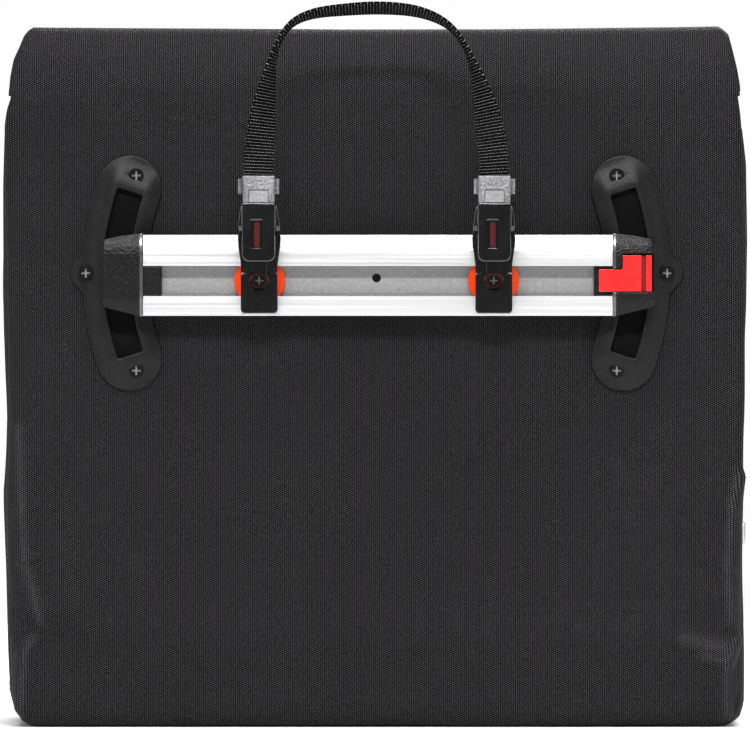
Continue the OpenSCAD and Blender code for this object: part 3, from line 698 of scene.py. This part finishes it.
# The fold is crossed slantwise, so the flap's front, which hangs below the fold, is past its end.
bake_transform(sheet_piece, "bag", "flap",
         start=(0, BACK_Y - 3.5 * MM, FOLD_Z - 2 * MM), end=(0, BACK_Y + 5.2 * MM, FOLD_Z + 3 * MM))


# ---- the bag's body: sides, front and base in one lofted shell ----

# Steps along the back, each corner, each side and the front of a ring of the body.
BACK_STEPS, CORNER_STEPS, GUSSET_STEPS, FRONT_STEPS = 60, 10, 44, 100
# A side stands in by GUSSET_TUCK at the back, and is fully out after 1 / GUSSET_RATE of its depth.
GUSSET_TUCK = 2.2 * MM
GUSSET_RATE = 2.2


def body_ring(z):
    """The body's outline at height z, seen from above, as x, y pairs from the back's left corner."""
    low = max(0, (BODY_FOOT - z) / BODY_FOOT)
    inset = BODY_FOOT * (1 - math.sqrt(max(0, 1 - low * low)))
    neck = min(max((z - 300 * MM) / (10 * MM), 0), 1)
    swell = math.sin(math.pi * min(max((z - 8 * MM) / (200 * MM), 0), 1))
    back_y = BACK_Y + 1.5 * MM + inset
    front_y = FRONT_Y - inset
    left = half_width(min(z, SKIRT_Z - MM), -1) - neck * 5.6 * MM
    right = half_width(min(z, SKIRT_Z - MM), 1) - neck * 3.6 * MM
    turn = BODY_TURN
    depth = front_y - back_y - 2 * turn

    def corner(cx, cy, start):
        return [(cx + turn * math.cos(a), cy + turn * math.sin(a))
                for a in np.linspace(start, start + math.pi / 2, CORNER_STEPS, endpoint=False)]

    def tuck(t):
        return GUSSET_TUCK * (1 - math.sin(math.pi * min(t * GUSSET_RATE, 1) / 2))

    ring = [(x, back_y) for x in np.linspace(-left + turn, right - turn, BACK_STEPS, endpoint=False)]
    ring += corner(right - turn, back_y + turn, -math.pi / 2)
    for t in np.linspace(0, 1, GUSSET_STEPS, endpoint=False):
        ring.append((right - tuck(t), back_y + turn + depth * t))
    ring += corner(right - turn, front_y - turn, 0)
    for t in np.linspace(0, 1, FRONT_STEPS, endpoint=False):
        x = right - turn - (left + right - 2 * turn) * t
        ring.append((x, front_y + FRONT_SWELL * swell * math.sin(math.pi * t) ** 0.7))
    ring += corner(-left + turn, front_y - turn, math.pi / 2)
    for t in np.linspace(0, 1, GUSSET_STEPS, endpoint=False):
        ring.append((-left + tuck(1 - t), front_y - turn - depth * t))
    ring += corner(-left + turn, back_y + turn, math.pi)
    return ring


def body_height(p):
    """Sags and creases of the sides and the front; the back wall stays flat behind its cloth."""
    if p.y < BACK_Y + 4 * MM:
        return 0
    broad = noise.noise(Vector((p.x * 10 + 7, p.y * 12, p.z * 10))) * 1.6 * MM
    small = noise.noise(Vector((p.x * 36, p.y * 36 + 3, p.z * 36))) * 0.4 * MM
    # The part of the front under the flap is calmer.
    hidden = min(max((p.z - 215 * MM) / (20 * MM), 0), 1)
    if p.y > FRONT_Y - 14 * MM:
        folds = 0.4 * sum(crease(p.x, p.z, line) for line in CREASES) * (1 - hidden)
    else:
        middle = math.sin(math.pi * (p.y - BACK_Y) / (FRONT_Y - BACK_Y))
        folds = 1.1 * MM * middle * math.sin(p.z * 70 + 2.5 * math.sin(p.y * 55))
        folds *= min(max((150 * MM - p.z) / (120 * MM), 0), 1)
    return (broad + small) * (1 - 0.75 * hidden) + folds


def make_body():
    """The body's shell: a slightly hollow base, the rounded foot and the straight walls."""
    heights = [BODY_FOOT * (1 - math.cos(a)) for a in np.linspace(0.15, math.pi / 2, 9, endpoint=False)]
    heights += list(np.linspace(BODY_FOOT, RIM_Z, 108))
    base = np.array(body_ring(0.0))
    base_shares = (0.03, 0.2, 0.4, 0.6, 0.8, 0.93)
    points, uvs = [], []
    for share in base_shares:
        for x, y in base * share:
            points.append((x, y, 0.9 * MM * (1 - share ** 4) + 0.1 * MM))
            uvs.append((x, y))
    for z in heights:
        ring = np.array(body_ring(z))
        steps = np.concatenate([[0], np.cumsum(np.linalg.norm(np.diff(ring, axis=0), axis=1))])
        for (x, y), s in zip(ring, steps):
            top = BACK_HIGH.z if y < BACK_Y + BODY_TURN else RIM_Z
            points.append((x, y, min(z, top)))
            uvs.append((s, z))
    rows = len(base_shares) + len(heights)
    columns = len(base)
    faces = grid_faces(rows, columns, closed=True) + [tuple(range(columns - 1, -1, -1))]
    piece = mesh_object("body_cloth", points, faces, uvs)
    push(piece, body_height)
    solidify(piece, BODY_THICK)
    apply_modifiers(piece)
    settle(piece)
    piece.data.materials.append(CANVAS)
    return piece


body_piece = make_body()
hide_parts("front_panel", "gusset_left", "gusset_right", "bottom_panel")
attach(body_piece, "bag")


# ---- bindings, tab, eyelet and stitching ----

def body_line(z, start, end):
    """Points of the body's outline at height z between two shares of its length."""
    ring = np.array(body_ring(z))
    first, last = int(len(ring) * start), int(len(ring) * end)
    return [(x, y, z) for x, y in ring[first:last]]


def make_rim():
    """The folded binding round the mouth of the bag, at its sides and its front."""
    line = body_line(RIM_Z - 4 * MM, 0.25, 0.97)
    width, thick = 9 * MM, 3 * MM
    piece = ribbon("mouth_binding", line, [(0, 0, 1)] * len(line), width, thick)
    piece.data.materials.append(WEBBING)
    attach(piece, "bag")


def make_flap_stitches():
    """Two rows of stitches along the flap's front edge."""
    y = FLAP_HIGH.y
    end = FLAP_HIGH.x - 16 * MM
    xs = np.linspace(-end, end, 90)
    for row, rise in (("lower", 5 * MM), ("upper", 9 * MM)):
        line = []
        for x in xs:
            p = Vector((x, y, FLAP_LOW.z + rise))
            line.append((x, y + cloth_height(p) + 0.1 * MM, p.z))
        piece = stitches(f"flap_stitches_{row}", line, [(0, 1, 0)] * len(line))
        piece.data.materials.append(THREAD)
        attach(piece, "flap")


def make_tab():
    """The pale tab on the right side, bowed a little off the cloth."""
    low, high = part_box("side_tab")
    x = half_width(low.z, 1) + 0.2 * MM
    steps = 24
    line = [(x + 1.2 * MM * math.sin(math.pi * i / (steps - 1)), y, (low.z + high.z) / 2)
            for i, y in enumerate(np.linspace(low.y + 4 * MM, high.y, steps))]
    piece = ribbon("reflective_tab", line, [(0, 0, 1)] * len(line), high.z - low.z, 1 * MM)
    piece.data.materials.append(REFLECTOR)
    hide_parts("side_tab")
    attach(piece, "bag")


def make_eyelet():
    """The steel ring in the lower left corner."""
    low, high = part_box("corner_eyelet")
    y, z = (low.y + high.y) / 2, (low.z + high.z) / 2
    x = -half_width(z, -1) - 0.3 * MM
    round_steps, section_steps = 32, 10
    points = []
    for i in range(round_steps):
        a = i * math.tau / round_steps
        for j in range(section_steps):
            b = j * math.tau / section_steps
            r = (2.2 + 0.8 * math.cos(b)) * MM
            points.append((x - 0.5 * MM * math.sin(b), y + r * math.cos(a), z + r * math.sin(a)))
    total = len(points)
    faces = [tuple(k % total for k in face)
             for face in grid_faces(round_steps + 1, section_steps, closed=True)]
    piece = mesh_object("eyelet_ring", points, faces)
    piece.data.materials.append(STEEL)
    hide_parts("corner_eyelet")
    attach(piece, "bag")


make_rim()
make_flap_stitches()
make_tab()
make_eyelet()


# ---- the carry handle ----

# The arch from left to right: x and z as shares of the strap's box, and the webbing's turn in degrees.
ARCH = [(-0.89, 0, 0), (-0.888, 0.12, 0), (-0.88, 0.24, 6), (-0.865, 0.36, 22),
        (-0.842, 0.49, 44), (-0.81, 0.62, 66), (-0.765, 0.75, 82), (-0.695, 0.845, 84),
        (-0.605, 0.905, 81), (-0.46, 0.942, 76), (-0.25, 0.96, 72), (0, 0.969, 70),
        (0.23, 0.96, 72), (0.4, 0.932, 76), (0.53, 0.886, 81), (0.625, 0.82, 84),
        (0.7, 0.73, 82), (0.765, 0.61, 66), (0.815, 0.485, 44), (0.85, 0.36, 22),
        (0.875, 0.24, 6), (0.888, 0.12, 0), (0.89, 0, 0)]


def make_handle():
    """The webbing handle, which turns its flat side up towards its top."""
    low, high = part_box("carry_strap")
    y = (low.y + high.y) / 2
    span = (high.x - low.x) / 2
    rise = high.z - low.z
    line = smooth_line([(x * span, low.z + z * rise, turn) for x, z, turn in ARCH], 8)
    runs = np.gradient(line[:, :2], axis=0)
    centres, wides = [], []
    for (x, z, turn), run in zip(line, runs):
        run = run / np.linalg.norm(run)
        a = math.radians(turn)
        centres.append((x, y, z))
        wides.append((run[1] * math.cos(a), math.sin(a), -run[0] * math.cos(a)))
    thick = 1.6 * MM
    piece = ribbon("carry_webbing", centres, wides, high.y - low.y, thick)
    piece.data.materials.append(WEBBING)
    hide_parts("carry_strap")
    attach(piece, "handle")


make_handle()


# ---- the hard parts: rounded copies of the CAD's shapes, each in its own finish ----

# Each part's finish, its material slot, and how its edges are rounded, over so many millimetres.
# "moulded" edges are melted soft and "cut" edges are bevelled. A cut part of size 0 keeps its edges,
# and a part with neither stays the CAD's own object. A * stands for left and right.
FINISHES = [
    ("plate_*", MATT, "black_plastic", "moulded", 0.42),
    ("plate_screws", SCREW, "black_screw", "cut", 0.5),
    ("plate_nuts", STEEL, "steel", "cut", 0.2),
    ("pivot_stud", SCREW, "black_screw", "cut", 0.2),
    ("rail", RAIL, "rail_metal", "cut", 0.3),
    ("cap_*", GRAINED, "black_plastic", "moulded", 0.32),
    ("shoe_*", GLOSSY, "gloss_black", "cut", 0.3),
    ("lock_slider", RED, "red_plastic", "moulded", 0.2),
    ("lock_spring", STEEL, "steel", "cut", 0),
    ("hook_*", GLOSSY, "gloss_black", "moulded", 0.3),
    ("latch_*", GLOSSY, "gloss_black", "cut", 0.2),
    ("latch_pin_*", STEEL, "steel", None, 0),
    ("latch_spring_*", STEEL, "steel", "cut", 0),
    ("wheel_*", ORANGE, "orange_plastic", "cut", 0.12),
    ("wheel_screw_*", SCREW, "black_screw", "cut", 0.15),
    # The red inserts are painted darker red: painted shade.
    ("adjuster_*", SHADED_INSERT_RED, "red_plastic", "cut", 0.2),
    # The pull bars are painted dark red: painted shade.
    ("pull_bar_*", SHADED_BAR_RED, "red_plastic", "cut", 0.15),
    # The strap clips are painted grey: a painted reflection.
    ("strap_clip_*", CLIP_REFLECTION_GREY, "gloss_black", "moulded", 0.2),
    ("back_board", BOARD, "board", "cut", 0.8),
    ("bottom_board", BOARD, "board", "cut", 0.8),
    ("loop_patches", LOOPS, "hook_tape", "cut", 0.2),
    ("hook_patches", HOOKS, "hook_tape", "cut", 0.2),
]


def soften(piece, voxel):
    """Melts the edges of a moulded part: a fine remesh, smoothed and then thinned out."""
    is_plate = piece.name.startswith("plate")
    remesh = piece.modifiers.new("fine", "REMESH")
    remesh.mode = "VOXEL"
    remesh.voxel_size = voxel * MM
    melt = piece.modifiers.new("melt", "SMOOTH")
    melt.factor = 0.5
    melt.iterations = 14 if is_plate else 5
    apply_modifiers(piece)
    if is_plate:
        blend_boss(piece)
    piece.modifiers.new("thin", "DECIMATE").ratio = 0.22


def bevel(piece, edge):
    """Bevels the edges of a cut part by edge millimetres."""
    piece.modifiers.new("weld", "WELD").merge_threshold = 0.01 * MM
    flat = piece.modifiers.new("flat", "DECIMATE")
    flat.decimate_type = "DISSOLVE"
    flat.angle_limit = math.radians(1.5)
    round_off = piece.modifiers.new("round", "BEVEL")
    round_off.width = edge * MM
    round_off.segments = 3
    round_off.limit_method = "ANGLE"
    round_off.angle_limit = math.radians(32)
    round_off.use_clamp_overlap = True


def detailed_part(name, material, kind, size):
    """A new piece that stands for a CAD node: its shape with its edges rounded."""
    piece = bpy.data.objects.new(f"{name}_part", NODES[name].data.copy())
    bpy.context.scene.collection.objects.link(piece)
    if name == "rail":
        lean_rail(piece)
    if kind == "moulded":
        soften(piece, size)
    elif size:
        bevel(piece, size)
    apply_modifiers(piece)
    if name.startswith("cap"):
        crown_cap(piece)
    piece.data.polygons.foreach_set("use_smooth", [True] * len(piece.data.polygons))
    piece.modifiers.new("even", "WEIGHTED_NORMAL").keep_sharp = True
    apply_modifiers(piece)
    piece.data.materials.clear()
    piece.data.materials.append(material)
    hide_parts(name)
    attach(piece, body_of(NODES[name])[0])
    return piece


def crown_cap(piece):
    """An end cap's face falls away a little towards its top, its bottom and its outer end."""
    low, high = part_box("cap_right")
    middle = (low.z + high.z) / 2
    skin, flat_half, slope, end_reach = 4 * MM, 9 * MM, 12 * MM, 4 * MM
    for v in piece.data.vertices:
        if v.co.y < low.y + skin:
            out = max(0, abs(v.co.z - middle) - flat_half) / slope
            end = max(0, abs(v.co.x) - high.x + end_reach) / end_reach
            v.co.y += 2.8 * MM * out * out + 0.7 * MM * end * end


# The plates' arc: its centre's height, its radius, and half the slot's length as an angle.
PLATE_LOW, PLATE_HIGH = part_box("plate_right")
ARC_Z = (PLATE_LOW.z + PLATE_HIGH.z) / 2
ARC_R = 129.5 * MM
SLOT_HALF = math.radians(18.3)


def blend_boss(piece):
    """The raised edge round a plate's slot falls away smoothly to its flange."""
    # Heights off the back cloth, half the raised edge's width, and how far the slope runs.
    boss, flange, edge, slope = 5.5 * MM, 2.2 * MM, 6.5 * MM, 11 * MM
    end_stretch = 0.72
    for v in piece.data.vertices:
        x, z = abs(v.co.x), v.co.z - ARC_Z
        across = abs(math.hypot(x, z) - ARC_R) - edge
        beyond = (abs(math.atan2(z, x)) - SLOT_HALF) * ARC_R
        away = max(across, beyond)
        if across > 0 and beyond > 0:
            away = math.hypot(across, beyond * end_stretch)
        elif beyond > 0:
            away = beyond * end_stretch
        stands = BACK_Y - v.co.y
        in_chamber = across < 3.4 * MM and beyond < 1.2 * MM and stands < boss - 0.7 * MM
        if away < 0.6 * MM or stands < flange - 0.3 * MM or in_chamber:
            continue
        t = min(max((away - 1 * MM) / slope, 0), 1)
        height = flange + (boss - flange) * (1 - t * t * (3 - 2 * t))
        v.co.y = BACK_Y - height


def lean_rail(piece):
    """The rail's upper band leans back a little above its middle."""
    start = RAIL_HIGH.z - 9.2 * MM
    mesh = bmesh.new()
    mesh.from_mesh(piece.data)
    bmesh.ops.bisect_plane(mesh, geom=mesh.verts[:] + mesh.edges[:] + mesh.faces[:],
                           plane_co=(0, 0, start), plane_no=(0, 0, 1))
    for v in mesh.verts:
        if v.co.y < RAIL_LOW.y + 1 * MM and v.co.z > start:
            v.co.y += 0.16 * (v.co.z - start)
    mesh.to_mesh(piece.data)
    mesh.free()


def in_slot(x, z):
    """Whether a point seen from the rail's side lies in a plate's arc slot, or just past its edge."""
    away = math.hypot(x, z - ARC_Z) - ARC_R
    return abs(away) < 6.7 * MM and abs(math.atan2(z - ARC_Z, x)) < math.radians(18.55)


def paint(piece, material, chosen):
    """Gives a second material to the faces whose centre is chosen."""
    piece.data.materials.append(material)
    for face in piece.data.polygons:
        if chosen(face.center):
            face.material_index = len(piece.data.materials) - 1


def compress(piece):
    """Gives a spring its own copy of its mesh."""
    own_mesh(piece)


def finish_node(name, material):
    """Gives a CAD node that stays its own material."""
    node = NODES[name]
    if not node.material_slots:
        node.data.materials.append(material)
    for place in node.material_slots:
        place.link = "OBJECT"
        place.material = material


PARTS = {}
for pattern, finish, finish_slot, rounding, size_mm in FINISHES:
    for part_name in [pattern.replace("*", side) for side in SIDES] if "*" in pattern else [pattern]:
        if rounding:
            PARTS[part_name] = detailed_part(part_name, finish, rounding, size_mm)
        else:
            finish_node(part_name, finish)

compress(PARTS["lock_spring"])
for side_name in SIDES:
    compress(PARTS[f"latch_spring_{side_name}"])

# Second finishes. Each cap has a strip beside the rail painted lighter and glossier, a painted highlight,
# and the rail's groove and the slider's grip are painted darker than their faces: painted shade. The
# screws' recesses are painted light grey, a painted glint, the hidden stem of each red insert is black,
# each pull bar's tab is painted light grey, a painted highlight, and each arc slot and each panel in a
# hook's leg is painted dark: painted shade.
COLLAR_HALF = 0.75 * MM
GROOVE_Y = RAIL_LOW.y + 2.6 * MM
GROOVE_DEPTH = 8 * MM
PLATE_SCREW_TURN = math.radians(22.1)
PLATE_SCREWS = [(ARC_R * math.cos(a), ARC_R * math.sin(a))
                for a in (PLATE_SCREW_TURN, -PLATE_SCREW_TURN)]
PLATE_SCREWS.append((145.2 * MM, 0))
RECESS_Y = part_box("plate_screws")[0].y + 0.12 * MM
RECESS_R = 2.3 * MM
WHEEL_X = abs(JOINTS["wheel_left_turn"]["pos_m"][0])
WHEEL_Z = JOINTS["wheel_left_turn"]["pos_m"][2]
HEAD_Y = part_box("wheel_screw_left")[0].y + 0.12 * MM
SOCKET_R = 1.9 * MM
GRIP_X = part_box("lock_slider")[1].x - 4.1 * MM
GRIP_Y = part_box("lock_slider")[0].y + 0.35 * MM
STEM_Z = WHEEL_Z + 4.2 * MM
SLOT_DEPTH_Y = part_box("plate_left")[0].y + 0.6 * MM
HOOK_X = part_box("latch_pin_right")[0].x / 2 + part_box("latch_pin_right")[1].x / 2
PANEL_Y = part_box("hook_left")[0].y + 0.12 * MM
PANEL_HALF = 4.9 * MM
PANEL_LOW_Z, PANEL_HIGH_Z = 0.238, 0.2536
TAB_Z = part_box("strap_clip_left")[0].z - 1.5 * MM

# Each cap's strip beside the rail is painted lighter: a painted highlight.
for cap_name, start_x in (("cap_left", -RAIL_LOW.x + 1 * MM), ("cap_right", RAIL_HIGH.x + 1 * MM)):
    paint(PARTS[cap_name], COLLAR_HIGHLIGHT, lambda c: abs(abs(c.x) - start_x) < COLLAR_HALF and c.y < GROOVE_Y)
# The rail's groove is painted darker: painted shade.
paint(PARTS["rail"], GROOVE_SHADE, lambda c: GROOVE_Y < c.y < GROOVE_Y + GROOVE_DEPTH)
# The plate screws' recesses are painted light grey: a painted glint.
paint(PARTS["plate_screws"], GLINT, lambda c: RECESS_Y < c.y < RECESS_Y + 1.2 * MM and
      min(math.hypot(abs(c.x) - x, c.z - ARC_Z - z) for x, z in PLATE_SCREWS) < RECESS_R)
# The slider's grip groove is painted darker red: painted shade.
paint(PARTS["lock_slider"], DEEP_RED, lambda c: abs(c.x - GRIP_X) < 1.25 * MM and c.y > GRIP_Y)
for side_name in SIDES:
    # Each wheel screw's socket is painted light grey: a painted glint.
    paint(PARTS[f"wheel_screw_{side_name}"], GLINT, lambda c: HEAD_Y < c.y < HEAD_Y + 1.3 * MM and
          math.hypot(abs(c.x) - WHEEL_X, c.z - WHEEL_Z) < SOCKET_R)
    paint(PARTS[f"adjuster_{side_name}"], GLOSSY, lambda c: c.z > STEM_Z)
    # Each pull bar's tab is painted light grey: a painted highlight.
    paint(PARTS[f"pull_bar_{side_name}"], TAB_HIGHLIGHT_GREY, lambda c: c.z > TAB_Z)
    # The panel in each hook's leg is painted dark: painted shade.
    paint(PARTS[f"hook_{side_name}"], SLOT_SHADE, lambda c: abs(abs(c.x) - HOOK_X) < PANEL_HALF and
          PANEL_LOW_Z < c.z < PANEL_HIGH_Z and c.y > PANEL_Y)
    # Each plate's arc slot is painted dark: painted shade.
    paint(PARTS[f"plate_{side_name}"], SLOT_SHADE,
          lambda c: c.y > SLOT_DEPTH_Y and in_slot(abs(c.x), c.z))


# ---- floor, light and camera ----

def make_floor():
    """A pale disc just below the base."""
    radius, drop, steps = 1.6, 0.2 * MM, 64
    points = [(radius * math.cos(a), radius * math.sin(a), -drop)
              for a in np.linspace(0, math.tau, steps, endpoint=False)]
    floor = mesh_object("floor", points, [tuple(range(steps))], smooth=False)
    pale = new_material("pale_floor", (0.86, 0.86, 0.86), 0.7)
    mottle = noise_of(pale, 3, 2.0)
    colour_from(pale, mottle, (0.92, 0.92, 0.92), (0.94, 0.94, 0.94))
    floor.data.materials.append(pale)


def area_light(name, place, aim, size, power, height):
    """A rectangular light of size by height metres and so many watts, aimed at a point."""
    lamp = bpy.data.lights.new(name, "AREA")
    lamp.shape = "RECTANGLE"
    lamp.energy = power
    lamp.size = size
    lamp.size_y = height
    piece = bpy.data.objects.new(name, lamp)
    piece.location = place
    piece.rotation_euler = (Vector(aim) - Vector(place)).to_track_quat("-Z", "Y").to_euler()
    bpy.context.scene.collection.objects.link(piece)


def make_light():
    """A white backdrop that only the camera sees, a dim fill, and five soft lights."""
    world = bpy.data.worlds.new("studio")
    bpy.context.scene.world = world
    world.use_nodes = True
    tree = world.node_tree
    fill = tree.nodes["Background"]
    fill.inputs["Color"].default_value = (1, 1, 1, 1)
    fill.inputs["Strength"].default_value = 0.13
    backdrop = tree.nodes.new("ShaderNodeBackground")
    backdrop.inputs["Color"].default_value = (1, 1, 1, 1)
    seen = tree.nodes.new("ShaderNodeLightPath")
    mix = tree.nodes.new("ShaderNodeMixShader")
    tree.links.new(seen.outputs["Is Camera Ray"], mix.inputs[0])
    tree.links.new(fill.outputs[0], mix.inputs[1])
    tree.links.new(backdrop.outputs[0], mix.inputs[2])
    tree.links.new(mix.outputs[0], tree.nodes["World Output"].inputs["Surface"])
    area_light("key_soft", (-0.1, -2.4, 1.78), (0, -0.1, 0.2), 1.3, 80, 0.24)
    area_light("top_soft", (0.1, -0.3, 2.2), (0, -0.05, 0.3), 1.4, 62, 1.0)
    area_light("left_soft", (-2.4, -0.9, 0.8), (0, 0, 0.18), 0.8, 21, 1.2)
    area_light("right_soft", (2.4, -0.9, 0.8), (0, 0, 0.18), 0.8, 19, 1.2)
    area_light("rear_soft", (0.5, 2.4, 1.8), (0, 0, 0.18), 1.4, 46, 1.0)


def make_camera():
    """Level with the bag's middle, looking straight at the rail side from a long way off."""
    scene = bpy.context.scene
    lens = bpy.data.cameras.new("camera")
    camera = bpy.data.objects.new("camera", lens)
    scene.collection.objects.link(camera)
    away, seen_width = 4.0, 375 * MM
    middle_x, middle_z = -0.75 * MM, 180.25 * MM
    lens.sensor_width = 36
    lens.lens = lens.sensor_width * away / seen_width
    lens.clip_end = 40
    camera.location = (middle_x, BACK_Y - away, middle_z)
    camera.rotation_euler = (math.pi / 2, 0, 0)
    scene.camera = camera


make_floor()
make_light()
make_camera()
bpy.context.scene.view_settings.view_transform = "Standard"
